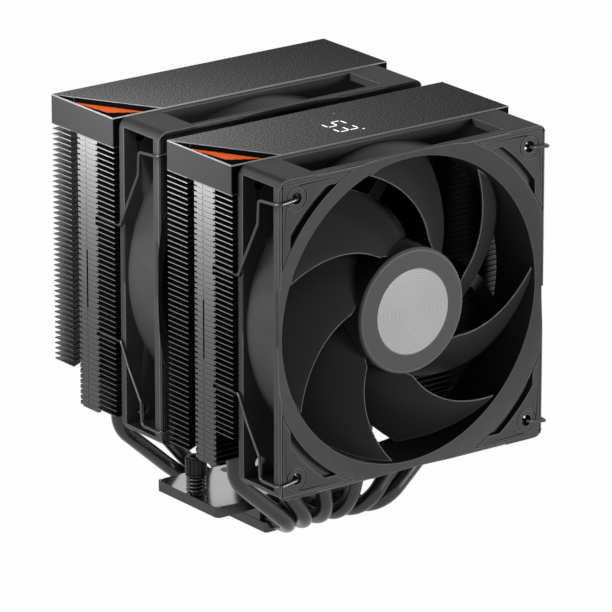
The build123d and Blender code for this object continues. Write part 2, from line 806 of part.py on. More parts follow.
sleeve, ring, washer, spring = screw_sleeve(), clip_ring(), screw_washer(), screw_spring()
for side, x in (("left", -mount_screw_x), ("right", mount_screw_x)):
    keep(f"{side}_screw_sleeve", Pos(x, 0, 0) * sleeve)
    keep(f"{side}_clip_ring", Pos(x, 0, 0) * ring)
    keep(f"{side}_screw_washer", Pos(x, 0, 0) * washer)
    keep(f"{side}_screw_spring", Pos(x, 0, 0) * spring)

fan_pieces = {
    "fan_frame": fan_frame(),
    "impeller": impeller(),
    "hub_disc": hub_disc(),
    "motor_shaft": motor_shaft(),
    "motor_bearing": motor_bearing(),
    "motor_yoke": motor_yoke(),
    "magnet_ring": magnet_ring(),
    "stator_core": stator_core(),
    "stator_coils": stator_coils(),
    "circuit_board": circuit_board(),
    "left_wire_clip": wire_clip(),
    "right_wire_clip": mirrored_x(wire_clip()),
}
for fan, fan_y in (("front", front_fan_y), ("middle", middle_fan_y)):
    for name, shape in fan_pieces.items():
        keep(f"{fan}_{name}", Pos(0, fan_y, fan_axis_height) * shape)

keep("front_cover", Pos(0, front_tower_y, cover_top_height) * front_cover())
keep("rear_cover", Pos(0, rear_tower_y, cover_top_height) * plain_cover())
for tower, tower_y in (("front", front_tower_y), ("rear", rear_tower_y)):
    keep(f"{tower}_accent_strip", Pos(0, tower_y, cover_top_height) * accent_strip())
keep("display_segments", Pos(0, front_tower_y, cover_top_height) * display_segments())
keep("display_board", Pos(0, front_tower_y, cover_top_height) * display_board())
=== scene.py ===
import bpy
import bmesh
import json
import math
from mathutils import Matrix, Vector


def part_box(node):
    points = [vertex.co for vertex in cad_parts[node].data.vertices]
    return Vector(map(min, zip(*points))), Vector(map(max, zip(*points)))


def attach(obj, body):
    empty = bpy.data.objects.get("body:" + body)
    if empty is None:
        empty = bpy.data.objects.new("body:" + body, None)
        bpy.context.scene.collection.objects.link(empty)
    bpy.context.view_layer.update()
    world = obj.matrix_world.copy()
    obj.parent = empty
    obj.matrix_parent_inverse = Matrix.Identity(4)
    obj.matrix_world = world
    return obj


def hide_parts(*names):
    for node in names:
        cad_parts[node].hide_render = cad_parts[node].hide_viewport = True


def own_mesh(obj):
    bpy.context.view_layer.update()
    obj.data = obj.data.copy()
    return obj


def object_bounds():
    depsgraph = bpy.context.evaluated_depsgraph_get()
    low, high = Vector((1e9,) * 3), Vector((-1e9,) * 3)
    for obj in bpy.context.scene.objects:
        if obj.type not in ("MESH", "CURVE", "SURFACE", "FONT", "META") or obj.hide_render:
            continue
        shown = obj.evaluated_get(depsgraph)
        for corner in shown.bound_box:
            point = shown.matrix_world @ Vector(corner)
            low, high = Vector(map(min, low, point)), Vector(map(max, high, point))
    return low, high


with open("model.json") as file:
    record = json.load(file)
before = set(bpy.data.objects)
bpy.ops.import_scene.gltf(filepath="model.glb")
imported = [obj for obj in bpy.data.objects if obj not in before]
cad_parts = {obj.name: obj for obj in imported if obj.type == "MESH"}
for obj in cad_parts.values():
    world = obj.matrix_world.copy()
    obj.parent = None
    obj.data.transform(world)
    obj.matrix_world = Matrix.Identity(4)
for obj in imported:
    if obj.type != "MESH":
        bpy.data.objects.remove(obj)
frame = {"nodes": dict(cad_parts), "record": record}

cad_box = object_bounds()
record = frame["record"]
nodes = frame["nodes"]

MM = 0.001

FANS = ("front", "middle")
TOWERS = ("front", "rear")
SIDES = (("left", -1), ("right", 1))
PIPE_COUNT = 6

CAMERA_PLACE = (-1.2743, -1.7254, 0.7893)
CAMERA_TILT, CAMERA_TURN = 71.657, -36.71        # degrees
CAMERA_LENS, SENSOR_WIDTH = 358.6, 36            # mm
# each light's name, place, aim, side length and power in watts
SOFTBOXES = (
    ("left_softbox", (-0.42, 0.06, 0.18), (-0.06, 0, 0.11), 0.22, 0.95),
    ("front_softbox", (0.42, -0.92, 0.20), (0, 0, 0.10), 0.30, 6.8),
    ("back_softbox", (1.00, 0.20, 0.26), (0, 0, 0.10), 0.5, 1.8),
    ("top_softbox", (-0.12, 0.01, 0.24), (-0.03, 0, 0.158), 0.06, 0.18),
)
SKY_SEEN, SKY_LIGHT = 1.0, 0.04                  # brightness when seen, and as a light
FLOOR_MATT, FLOOR_GLOW = 0.6, 0.985
FLOOR_SIZE, FLOOR_DROP = 12, 0.2 * MM
WHITE = (1, 1, 1, 1)


# ---------------------------------------------------------------- places read from the frame
def node_box(node):
    low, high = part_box(node)
    return Vector(low), Vector(high)


def node_middle(node):
    low, high = node_box(node)
    return (low + high) / 2


# ---------------------------------------------------------------- camera, light and floor
def add_camera():
    data = bpy.data.cameras.new("camera")
    data.lens = CAMERA_LENS
    data.sensor_width = SENSOR_WIDTH
    data.clip_end = 20
    camera = bpy.data.objects.new("camera", data)
    camera.location = CAMERA_PLACE
    camera.rotation_euler = (math.radians(CAMERA_TILT), 0, math.radians(CAMERA_TURN))
    bpy.context.scene.collection.objects.link(camera)
    bpy.context.scene.camera = camera


def add_softbox(name, place, aim, side, power):
    data = bpy.data.lights.new(name, "AREA")
    data.shape = "RECTANGLE"
    data.size = data.size_y = side
    data.energy = power
    light = bpy.data.objects.new(name, data)
    light.location = place
    direction = Vector(aim) - Vector(place)
    light.rotation_euler = direction.to_track_quat("-Z", "Y").to_euler()
    light.visible_camera = False
    bpy.context.scene.collection.objects.link(light)


def background_rays(tree):
    """A value that is 1 where the background is seen directly or in a reflection."""
    path = tree.nodes.new("ShaderNodeLightPath")
    largest = path.outputs["Is Camera Ray"]
    for kind in ("Is Glossy Ray", "Is Transmission Ray"):
        either = tree.nodes.new("ShaderNodeMath")
        either.operation = "MAXIMUM"
        tree.links.new(largest, either.inputs[0])
        tree.links.new(path.outputs[kind], either.inputs[1])
        largest = either.outputs[0]
    return largest


def set_world():
    world = bpy.data.worlds.new("studio")
    bpy.context.scene.world = world
    world.use_nodes = True
    tree = world.node_tree
    tree.nodes.clear()
    seen = tree.nodes.new("ShaderNodeBackground")
    seen.inputs["Color"].default_value = WHITE
    seen.inputs["Strength"].default_value = SKY_SEEN
    lighting = tree.nodes.new("ShaderNodeBackground")
    lighting.inputs["Color"].default_value = WHITE
    lighting.inputs["Strength"].default_value = SKY_LIGHT
    mix = tree.nodes.new("ShaderNodeMixShader")
    output = tree.nodes.new("ShaderNodeOutputWorld")
    tree.links.new(background_rays(tree), mix.inputs["Fac"])
    tree.links.new(lighting.outputs[0], mix.inputs[1])
    tree.links.new(seen.outputs[0], mix.inputs[2])
    tree.links.new(mix.outputs[0], output.inputs["Surface"])


def floor_material():
    material = bpy.data.materials.new("floor_white")
    material.use_nodes = True
    tree = material.node_tree
    tree.nodes.clear()
    matt = tree.nodes.new("ShaderNodeBsdfDiffuse")
    matt.inputs["Color"].default_value = (FLOOR_MATT, FLOOR_MATT, FLOOR_MATT, 1)
    glow = tree.nodes.new("ShaderNodeEmission")
    glow.inputs["Color"].default_value = WHITE
    share = tree.nodes.new("ShaderNodeMath")
    share.operation = "MULTIPLY"
    share.inputs[1].default_value = FLOOR_GLOW
    mix = tree.nodes.new("ShaderNodeMixShader")
    output = tree.nodes.new("ShaderNodeOutputMaterial")
    tree.links.new(background_rays(tree), share.inputs[0])
    tree.links.new(share.outputs[0], mix.inputs["Fac"])
    tree.links.new(matt.outputs[0], mix.inputs[1])
    tree.links.new(glow.outputs[0], mix.inputs[2])
    tree.links.new(mix.outputs[0], output.inputs["Surface"])
    return material


def add_floor():
    bpy.ops.mesh.primitive_plane_add(size=FLOOR_SIZE, location=(0, 0, cad_box[0][2] - FLOOR_DROP))
    floor = bpy.context.object
    floor.name = "floor"
    floor.data.materials.append(floor_material())


# ---------------------------------------------------------------- materials
def new_surface(name, colour, roughness, metallic=0.0, specular=0.5):
    """A material with one Principled shader; returns it with its tree and shader."""
    material = bpy.data.materials.new(name)
    material.use_nodes = True
    tree = material.node_tree
    shader = tree.nodes["Principled BSDF"]
    shader.inputs["Base Color"].default_value = (*colour, 1)
    shader.inputs["Roughness"].default_value = roughness
    shader.inputs["Metallic"].default_value = metallic
    shader.inputs["Specular IOR Level"].default_value = specular
    return material, tree, shader


def object_coordinates(tree, scale=(1, 1, 1)):
    coordinates = tree.nodes.new("ShaderNodeTexCoord")
    mapping = tree.nodes.new("ShaderNodeMapping")
    mapping.inputs["Scale"].default_value = scale
    tree.links.new(coordinates.outputs["Object"], mapping.inputs["Vector"])
    return mapping.outputs["Vector"]


def noise(tree, size, detail, stretch=(1, 1, 1)):
    """Noise whose lumps are about size metres across."""
    texture = tree.nodes.new("ShaderNodeTexNoise")
    texture.inputs["Scale"].default_value = 1 / size
    texture.inputs["Detail"].default_value = detail
    tree.links.new(object_coordinates(tree, stretch), texture.inputs["Vector"])
    return texture.outputs["Fac"]


def ramp(tree, value, low, high, from_low=0.0, from_high=1.0):
    """Maps a value to a range."""
    span = tree.nodes.new("ShaderNodeMapRange")
    span.inputs["From Min"].default_value = from_low
    span.inputs["From Max"].default_value = from_high
    span.inputs["To Min"].default_value = low
    span.inputs["To Max"].default_value = high
    tree.links.new(value, span.inputs["Value"])
    return span.outputs["Result"]


def tint(tree, value, dark, light):
    """Blends two colours by a value."""
    blend = tree.nodes.new("ShaderNodeMix")
    blend.data_type = "RGBA"
    blend.inputs[6].default_value = (*dark, 1)
    blend.inputs[7].default_value = (*light, 1)
    tree.links.new(value, blend.inputs["Factor"])
    return blend.outputs[2]


def add_bump(tree, shader, height, distance):
    bump = tree.nodes.new("ShaderNodeBump")
    bump.inputs["Distance"].default_value = distance
    tree.links.new(height, bump.inputs["Height"])
    tree.links.new(bump.outputs["Normal"], shader.inputs["Normal"])


def facing(tree, axis, least, most):
    """A value that rises from 0 to 1 as faces turn towards an axis, such as "Z" or "-Y"."""
    geometry = tree.nodes.new("ShaderNodeNewGeometry")
    split = tree.nodes.new("ShaderNodeSeparateXYZ")
    tree.links.new(geometry.outputs["Normal"], split.inputs[0])
    if axis[0] == "-":
        return ramp(tree, split.outputs[axis[1]], 1, 0, -most, -least)
    return ramp(tree, split.outputs[axis], 0, 1, least, most)


def beyond(tree, axis, start, end):
    """A value that goes from 0 at start to 1 at end along an axis."""
    split = tree.nodes.new("ShaderNodeSeparateXYZ")
    tree.links.new(object_coordinates(tree), split.inputs[0])
    return ramp(tree, split.outputs[axis], 0, 1, start, end)


def times(tree, first, second):
    product = tree.nodes.new("ShaderNodeMath")
    product.operation = "MULTIPLY"
    tree.links.new(first, product.inputs[0])
    tree.links.new(second, product.inputs[1])
    return product.outputs[0]


def layered(tree, value, under, colour):
    """Lays a colour over another one by a value."""
    blend = tree.nodes.new("ShaderNodeMix")
    blend.data_type = "RGBA"
    tree.links.new(under, blend.inputs[6])
    blend.inputs[7].default_value = (*colour, 1)
    tree.links.new(value, blend.inputs["Factor"])
    return blend.outputs[2]


def moulded_plastic(name, colour, roughness, grain, grain_depth, painted_top_shade=None):
    """Moulded plastic with a fine grain and slight changes in gloss.

    Faces that look up take painted shade in a colour of their own, if one is given.
    """
    material, tree, shader = new_surface(name, colour, roughness, specular=0.06)
    fine = noise(tree, grain, 3)
    lighter = tuple(c * 1.18 for c in colour)
    darker = tuple(c * 0.86 for c in colour)
    shade = tint(tree, noise(tree, 6 * MM, 4), darker, lighter)
    # painted shade: faces that look up are darkened
    if painted_top_shade:
        shade = layered(tree, facing(tree, "Z", 0.2, 0.9), shade, painted_top_shade)
    tree.links.new(shade, shader.inputs["Base Color"])
    gloss = ramp(tree, fine, roughness - 0.06, roughness + 0.06)
    tree.links.new(gloss, shader.inputs["Roughness"])
    add_bump(tree, shader, fine, grain_depth)
    return material


def cover_plastic(cover):
    """Fine sparkling grain on the top and satin sides; the front and the accent pocket are made
    near black as painted shade.
    """
    black, satin = (0.008, 0.008, 0.008), (0.085, 0.085, 0.087)
    low, high = node_box(cover)
    material, tree, shader = new_surface(cover + "_plastic", satin, 0.42, specular=0.0)
    grain = noise(tree, 0.6 * MM, 3)
    speckle = ramp(tree, grain, 0, 1, 0.38, 0.66)
    top = facing(tree, "Z", 0.9, 0.97)
    colour = tint(tree, speckle, (0.05, 0.05, 0.051), (0.25, 0.25, 0.255))
    colour = layered(tree, ramp(tree, top, 1, 0), colour, satin)
    # painted shade: faces that look to the front are made near black
    colour = layered(tree, facing(tree, "-Y", 0.6, 0.97), colour, black)
    # painted shade: sunk faces behind the outer faces and below the top, such as the accent
    # pocket's floor, are made near black
    start, end = 0.45 * MM, 0.5 * MM             # behind the outer faces
    inside = times(tree, beyond(tree, "X", low.x + start, low.x + end),
                   beyond(tree, "Y", low.y + start, low.y + end))
    below_top = beyond(tree, "Z", high.z - 0.25 * MM, high.z - 0.3 * MM)
    inside = times(tree, inside, below_top)
    colour = layered(tree, inside, colour, (0.006, 0.006, 0.006))
    tree.links.new(colour, shader.inputs["Base Color"])
    tree.links.new(ramp(tree, speckle, 0.34, 0.5), shader.inputs["Roughness"])
    add_bump(tree, shader, times(tree, grain, top), 0.06 * MM)
    return material


def plated_metal(name, colour, roughness):
    """Plated or coated metal with faint streaks."""
    material, tree, shader = new_surface(name, colour, roughness, metallic=1.0)
    streaks = noise(tree, 0.4 * MM, 2, (1, 0.08, 1))
    gloss = ramp(tree, streaks, roughness * 0.75, roughness * 1.3)
    tree.links.new(gloss, shader.inputs["Roughness"])
    add_bump(tree, shader, streaks, 0.004 * MM)
    return material


def face_polished(name, axis, polished):
    """Plating that is polished on one face and darker and brushed on the others."""
    material, tree, shader = new_surface(name, polished, 0.14, metallic=1.0)
    streaks = noise(tree, 0.4 * MM, 2, (1, 0.08, 1))
    brushed = tint(tree, streaks, (0.035, 0.035, 0.036), (0.085, 0.085, 0.087))
    face = facing(tree, axis, 0.8, 0.97)
    tree.links.new(layered(tree, face, brushed, polished), shader.inputs["Base Color"])
    tree.links.new(ramp(tree, face, 0.34, 0.13), shader.inputs["Roughness"])
    add_bump(tree, shader, noise(tree, 20 * MM, 1), 0.2 * MM)
    return material


def gloss_black(name, roughness, specular=0.8):
    """Black coating with a narrow highlight and fine waviness."""
    black = (0.008, 0.008, 0.008)
    material, tree, shader = new_surface(name, black, roughness, specular=specular)
    waves = noise(tree, 1.2 * MM, 2)
    gloss = ramp(tree, waves, roughness * 0.8, roughness * 1.25)
    tree.links.new(gloss, shader.inputs["Roughness"])
    add_bump(tree, shader, waves, 0.01 * MM)
    return material


def around(tree, centre):
    """A point's place in the plane across the fan axis, measured from the axis."""
    place = tree.nodes.new("ShaderNodeMapping")
    place.inputs["Location"].default_value = (-centre[0], 0, -centre[2])
    place.inputs["Scale"].default_value = (1, 0, 1)
    tree.links.new(object_coordinates(tree), place.inputs["Vector"])
    return place.outputs["Vector"]


def blade_plastic(hub):
    """Satin hub, and blades painted darker than the hub as shade."""
    blade_painted_shade = (0.024, 0.024, 0.025)
    material, tree, shader = new_surface("blade_plastic", blade_painted_shade, 0.4, specular=0.06)
    length = tree.nodes.new("ShaderNodeVectorMath")
    length.operation = "LENGTH"
    tree.links.new(around(tree, hub), length.inputs[0])
    blade = ramp(tree, length.outputs["Value"], 0, 1, HUB_RADIUS, HUB_RADIUS + 0.3 * MM)
    grain = noise(tree, 0.5 * MM, 3)
    hub_grey = tint(tree, grain, (0.09, 0.09, 0.092), (0.125, 0.125, 0.128))
    # painted shade: the blades beyond the hub are made darker than the hub
    tree.links.new(layered(tree, blade, hub_grey, blade_painted_shade), shader.inputs["Base Color"])
    tree.links.new(ramp(tree, grain, 0.36, 0.46), shader.inputs["Roughness"])
    add_bump(tree, shader, grain, 0.01 * MM)
    return material


def pipe_plating():
    """Glossy black plating with soft waviness."""
    black = (0.014, 0.014, 0.015)
    material, tree, shader = new_surface("pipe_black_plating", black, 0.24, specular=0.55)
    waves = noise(tree, 4 * MM, 2)
    tree.links.new(ramp(tree, waves, 0.2, 0.34), shader.inputs["Roughness"])
    add_bump(tree, shader, waves, 0.04 * MM)
    return material


def fin_coating():
    """Satin black coating on thin sheet.

    The cut edges and the folded wall, the faces that look to either side, carry a painted
    reflection that grows lighter towards the top.
    """
    black = (0.006, 0.006, 0.006)
    material, tree, shader = new_surface("fin_black_coating", black, 0.30, specular=0.35)
    grain = noise(tree, 0.5 * MM, 3)
    # painted reflection: faces that look to either side grow lighter towards the top
    reflection_rise = tree.nodes.new("ShaderNodeMath")
    reflection_rise.operation = "POWER"
    tree.links.new(beyond(tree, "Z", 40 * MM, 146 * MM), reflection_rise.inputs[0])
    reflection_rise.inputs[1].default_value = 3.0
    painted_reflection = tint(tree, reflection_rise.outputs[0], (0.055, 0.055, 0.055), (0.50, 0.50, 0.505))
    speck = tint(tree, grain, (0.62, 0.62, 0.62), (1.3, 1.3, 1.3))
    mixed = tree.nodes.new("ShaderNodeMix")
    mixed.data_type = "RGBA"
    mixed.blend_type = "MULTIPLY"
    mixed.inputs["Factor"].default_value = 1.0
    tree.links.new(painted_reflection, mixed.inputs[6])
    tree.links.new(speck, mixed.inputs[7])
    # the painted reflection is kept to faces that look to either side; the rest stay black
    not_left = ramp(tree, facing(tree, "-X", 0.3, 0.7), 1, 0)
    not_right = ramp(tree, facing(tree, "X", 0.3, 0.7), 1, 0)
    colour = layered(tree, times(tree, not_left, not_right), mixed.outputs[2], black)
    tree.links.new(colour, shader.inputs["Base Color"])
    tree.links.new(ramp(tree, grain, 0.26, 0.42), shader.inputs["Roughness"])
    return material


def accent_orange():
    """Orange plastic with fine slanting ridges, which glows a little as painted light."""
    bright = (0.80, 0.12, 0.012)
    material, tree, shader = new_surface("accent_orange", bright, 0.45, specular=0.15)
    wave = tree.nodes.new("ShaderNodeTexWave")
    wave.bands_direction = "DIAGONAL"
    wave.inputs["Scale"].default_value = 420
    wave.inputs["Distortion"].default_value = 0.6
    tree.links.new(object_coordinates(tree), wave.inputs["Vector"])
    colour = tint(tree, wave.outputs["Fac"], (0.34, 0.045, 0.008), bright)
    tree.links.new(colour, shader.inputs["Base Color"])
    # painted light: the orange glows a little, though no lamp is in it
    tree.links.new(colour, shader.inputs["Emission Color"])
    shader.inputs["Emission Strength"].default_value = 0.3
    add_bump(tree, shader, wave.outputs["Fac"], 0.15 * MM)
    return material


def lit(name, colour, roughness, specular, light, strength):
    """A surface that glows."""
    material, _, shader = new_surface(name, colour, roughness, specular=specular)
    shader.inputs["Emission Color"].default_value = (*light, 1)
    shader.inputs["Emission Strength"].default_value = strength
    return material


def ringed_silver(centre):
    """Silver sheet with fine rings turned about the hub's centre."""
    light = (0.45, 0.45, 0.455)
    material, tree, shader = new_surface("hub_disc_silver", light, 0.4, metallic=0.3)
    rings = tree.nodes.new("ShaderNodeTexWave")
    rings.wave_type = "RINGS"
    rings.rings_direction = "SPHERICAL"
    rings.inputs["Scale"].default_value = 520
    tree.links.new(around(tree, centre), rings.inputs["Vector"])
    colour = tint(tree, rings.outputs["Fac"], (0.21, 0.21, 0.215), light)
    tree.links.new(colour, shader.inputs["Base Color"])
    add_bump(tree, shader, rings.outputs["Fac"], 0.015 * MM)
    return material


def finish_set():
    """One material for each slot of the record."""
    hub = node_middle("front_hub_disc")
    return {
        "plated_copper": face_polished("cold_plate_nickel", "-Z", (0.62, 0.58, 0.54)),
        "dark_aluminium": plated_metal("block_black_metal", (0.07, 0.07, 0.075), 0.38),
        "bright_plate": face_polished("bar_plating", "Z", (0.36, 0.36, 0.37)),
        "screw_steel": plated_metal("screw_dark_steel", (0.02, 0.02, 0.021), 0.3),
        "black_pipes": pipe_plating(),
        "black_fins": fin_coating(),
        "cover_plastic": cover_plastic("front_cover"),
        "orange_accent": accent_orange(),
        "lit_segments": lit("display_light", (0.9, 0.92, 0.95), 0.3, 0.5, (1, 1, 1), 1.0),
        "board": moulded_plastic("board_green", (0.02, 0.07, 0.04), 0.4, 0.5 * MM, 0.01 * MM),
        # the frames' faces that look up take painted shade
        "fan_plastic": moulded_plastic("fan_frame_plastic", (0.078, 0.078, 0.080), 0.42,
                                       0.4 * MM, 0.02 * MM, painted_top_shade=(0.016, 0.016, 0.016)),
        "bearing_brass": plated_metal("bearing_bronze", (0.55, 0.42, 0.22), 0.35),
        "motor_steel": plated_metal("motor_steel", (0.35, 0.35, 0.37), 0.35),
        "coil_copper": plated_metal("winding_copper", (0.62, 0.28, 0.12), 0.35),
        "wire_steel": gloss_black("wire_black_gloss", 0.16),
        "blade_plastic": blade_plastic(hub),
        "silver_disc": ringed_silver(hub),
        "magnet": moulded_plastic("magnet_ferrite", (0.05, 0.05, 0.05), 0.6,
                                  0.5 * MM, 0.02 * MM),
        "black_steel": gloss_black("sleeve_black_gloss", 0.3, 0.25),
        "spring_steel": gloss_black("spring_black_gloss", 0.2),
    }


def edge_highlight_plastic(name, colour):
    """A painted highlight on rounded edges: a lighter and smoother finish."""
    return moulded_plastic(name, colour, 0.35, 0.4 * MM, 0.01 * MM)


# ---------------------------------------------------------------- sizes of this cooler
OVER = 1 * MM                    # how far a cutter reaches past what it cuts

FIN_COUNT = 52
FIN_PITCH = 2.03 * MM
FIN_T = 0.4 * MM
SHORT_FINS = 6
WALL_T = 0.5 * MM                # folded wall at each end of the fins
WALL_FRONT = 10.6 * MM
WALL_BACK = 23.2 * MM
NOTCH_DEPTH = 5.5 * MM
NOTCH_WIDTH = 4.2 * MM
NOTCH_SLANT = 2.8 * MM
SEAM = 0.12 * MM                 # between a folded edge and the fin below it
SLIT_H = 0.5 * MM
SLIT_REAR = 1.7 * MM
SLIT_FRONT = 1.0 * MM
SLIT_SLANT = 0.5 * MM
SEAM_LINE = 17.6 * MM            # line of small slits down the folded wall
SEAM_LINE_T = 0.3 * MM
SEAM_LINE_MARGIN = 0.2 * MM      # left whole above and below each small slit
TAB_OVERLAP = 0.1 * MM           # of a folded edge with its fin
ENTRY_NEAR = 0.7                 # of the pitch: a wire enters by the fins this near to it
ENTRY_TALLER, ENTRY_LONGER = 2.4, 1.5     # front slits where a wire enters, times the others
SLOT_MIDDLE = 17.8 * MM          # long upright slot in the folded wall
SLOT_WIDTH = 0.9 * MM
SLOT_LOW = 80.8 * MM
SLOT_HIGH = 103.3 * MM

FAN_HALF = 60 * MM
FAN_DEPTH = 25 * MM
HOLE_OFFSET = 52.5 * MM
HUB_RADIUS = 23.4 * MM
FLANGE_T = 3.7 * MM
RIB_PITCH = 0.66 * MM
RIB_WIDTH = 2.2 * MM
RIB_SHARE = 0.62                 # of the pitch, taken up by the ridge
RIB_BEND = 0.45                  # of the pitch, by which a ridge's middle is raised
RIB_PROUD = 0.16 * MM
RIB_SUNK = 0.1 * MM
RIB_BELOW_WIRE = 1.2 * MM
RIB_COUNT = 32

# wire clips: depths are behind the fan's front face, heights are from its axis
WIRE_D = 1.3 * MM
WIRE_GAP = 0.3 * MM
WIRE_BEND = 1.6 * MM
WIRE_TIP = 3.2 * MM              # end of the wire in a corner hole
WIRE_FRONT = -0.95 * MM          # run along the front face
WIRE_FRONT_DROP = 0.9 * MM
SHOULDER = (11 * MM, -1.8 * MM)  # upper bends, from the height of the holes
ELBOW = (11.5 * MM, -10.6 * MM)
WIRE_LEAVES = 1.5 * MM           # before the back of the fan
WIRE_DEEP = 14.5 * MM            # how far the wire clip reaches into the fins
WIRE_HIGH = 19.565 * MM          # where it enters them
WIRE_LOW = -25.095 * MM
KNEE = (18.6 * MM, -9 * MM)      # lower bends: this one from the height of WIRE_LOW
ANKLE = (11 * MM, 7.2 * MM)      # and these from the height of the lower holes
HEEL = (10.5 * MM, -1.4 * MM)

SPRING_D = 7.6 * MM
SPRING_WIRE = 0.9 * MM
SPRING_TURNS = 4
SPRING_STEPS = 28                # in each turn

ROOF_T = 2 * MM                  # roof of a cover
DIGITS_X = -2.55 * MM            # middle of the two digits
DIGITS_Y = 16.1 * MM             # and how far it lies behind the front of the cover
DIGIT_WIDE = 4.4 * MM            # between the centres of the outer strokes
DIGIT_HALF = 4.25 * MM           # half of a digit's height, the same way
DIGIT_PITCH = 7.0 * MM
STROKE = 0.62 * MM
STROKE_BREAK = 0.2 * MM
STROKE_GAP = 0.03 * MM
WINDOW = (5.2 * MM, 6.6 * MM)    # half sizes of the roof plate that holds the digits

stack_low, stack_high = node_box("front_fin_stack")
FIN_HALF_WIDTH = stack_high.x
STACK_BOTTOM = stack_low.z
TOWER_DEPTH = stack_high.y - stack_low.y
TOWER_FRONT = {"front": stack_low.y, "rear": node_box("rear_fin_stack")[0].y}
FAN_FRONT = {fan: node_box(fan + "_fan_frame")[0].y for fan in FANS}
AXIS_HEIGHT = node_middle("front_hub_disc").z
WIRE_X = FAN_HALF + WIRE_GAP + WIRE_D / 2
body_of_node = {node: body
                for body, listed in record["behaviour"]["bodies"].items() for node in listed}
slot_of_node = {part["node"]: part["material_slot"] for part in record["subparts"]}


# ---------------------------------------------------------------- modelling helpers
def pick(*pieces):
    """Selects these pieces alone; the first one is active."""
    bpy.ops.object.select_all(action="DESELECT")
    for piece in pieces:
        piece.select_set(True)
    bpy.context.view_layer.objects.active = pieces[0]


def settle(piece):
    """Puts the piece's place into its mesh."""
    pick(piece)
    bpy.ops.object.transform_apply(location=True, rotation=True, scale=True)
    return piece


def add_block(name, low, high):
    """A block between two corners."""
    bpy.ops.object.select_all(action="DESELECT")
    low, high = Vector(low), Vector(high)
    bpy.ops.mesh.primitive_cube_add(size=1, location=(low + high) / 2, scale=high - low)
    block = bpy.context.object
    block.name = name
    return settle(block)


def move_faces(piece, normal, move):
    """Moves the faces that point one way."""
    pick(piece)
    wanted = Vector(normal)
    bpy.ops.object.mode_set(mode="EDIT")
    bpy.ops.mesh.select_mode(type="FACE")
    bpy.ops.mesh.select_all(action="DESELECT")
    bpy.ops.object.mode_set(mode="OBJECT")
    for face in piece.data.polygons:
        face.select = face.normal.dot(wanted) > 0.9
    bpy.ops.object.mode_set(mode="EDIT")
    bpy.ops.transform.translate(value=move)
    bpy.ops.object.mode_set(mode="OBJECT")


def combine(piece, tool, operation):
    pick(piece)
    modifier = piece.modifiers.new("combine", "BOOLEAN")
    modifier.operation = operation
    modifier.solver = "EXACT"
    modifier.object = tool
    bpy.ops.object.modifier_apply(modifier=modifier.name)
    bpy.data.objects.remove(tool)


def copied(piece, move=(0, 0, 0), mirror=False):
    """A copy with its own mesh, mirrored left to right if asked, and moved."""
    twin = piece.copy()
    twin.data = piece.data.copy()
    bpy.context.scene.collection.objects.link(twin)
    if mirror:
        twin.data.transform(Matrix.Scale(-1, 4, (1, 0, 0)))
        twin.data.flip_normals()
    twin.data.transform(Matrix.Translation(move))
    return twin


def joined(name, pieces):
    pick(*pieces)
    bpy.ops.object.join()
    whole = bpy.context.object
    whole.name = name
    return whole


def round_edges(piece, width, segments, material, spare, angle=35):
    """Rounds the outward edges; those inside the spare box, if there is one, stay sharp."""
    shape = bmesh.new()
    shape.from_mesh(piece.data)
    weight = shape.edges.layers.float.new("bevel_weight_edge")
    for edge in shape.edges:
        if len(edge.link_faces) != 2 or not edge.is_convex:
            continue
        middle = (edge.verts[0].co + edge.verts[1].co) / 2
        if spare and all(low <= at <= high for low, at, high in zip(spare[0], middle, spare[1])):
            continue
        if edge.calc_face_angle() > math.radians(angle):
            edge[weight] = 1
    shape.to_mesh(piece.data)
    shape.free()
    pick(piece)
    bevel = piece.modifiers.new("round", "BEVEL")
    bevel.width = width
    bevel.segments = segments
    bevel.limit_method = "WEIGHT"
    bevel.material = material
    bevel.use_clamp_overlap = False
    bpy.ops.object.modifier_apply(modifier=bevel.name)


def smooth(piece, angle=32):
    """Smooth shading that keeps the flat faces flat."""
    pick(piece)
    bpy.ops.object.shade_smooth_by_angle(angle=math.radians(angle))
    weighted = piece.modifiers.new("weighted", "WEIGHTED_NORMAL")
    weighted.keep_sharp = True
    bpy.ops.object.modifier_apply(modifier=weighted.name)


def stand_for(piece, node):
    """Puts a piece in the place of a CAD node and body."""
    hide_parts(node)
    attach(piece, body_of_node[node])
    return piece


def dress(piece, node):
    """Gives a new piece the finish of the CAD node that it stands for."""
    piece.data.materials.clear()
    piece.data.materials.append(finishes[slot_of_node[node]])
    return stand_for(piece, node)


def node_copy(node, name):
    """A new object with a copy of a CAD node's mesh."""
    piece = bpy.data.objects.new(name, nodes[node].data.copy())
    bpy.context.scene.collection.objects.link(piece)
    return piece


def softened(node, width, segments=2, angle=32, edge=None, spare=None):
    """A merged copy of a CAD node with rounded edges, which take a painted highlight if one is
    given.
    """
    piece = node_copy(node, node + "_finished")
    if edge:
        piece.data.materials.append(edge)
    pick(piece)
    bpy.ops.object.mode_set(mode="EDIT")
    bpy.ops.mesh.select_all(action="SELECT")
    bpy.ops.mesh.remove_doubles(threshold=0.000001)
    bpy.ops.mesh.dissolve_limited(angle_limit=math.radians(0.5))
    bpy.ops.mesh.quads_convert_to_tris(quad_method="BEAUTY", ngon_method="BEAUTY")
    bpy.ops.object.mode_set(mode="OBJECT")
    if width:
        round_edges(piece, width, segments, 1 if edge else -1, spare)
    low, high = node_box(node)
    for point in piece.data.vertices:
        point.co = [min(max(at, least), most) for at, least, most in zip(point.co, low, high)]
    smooth(piece, angle)
    return stand_for(piece, node)


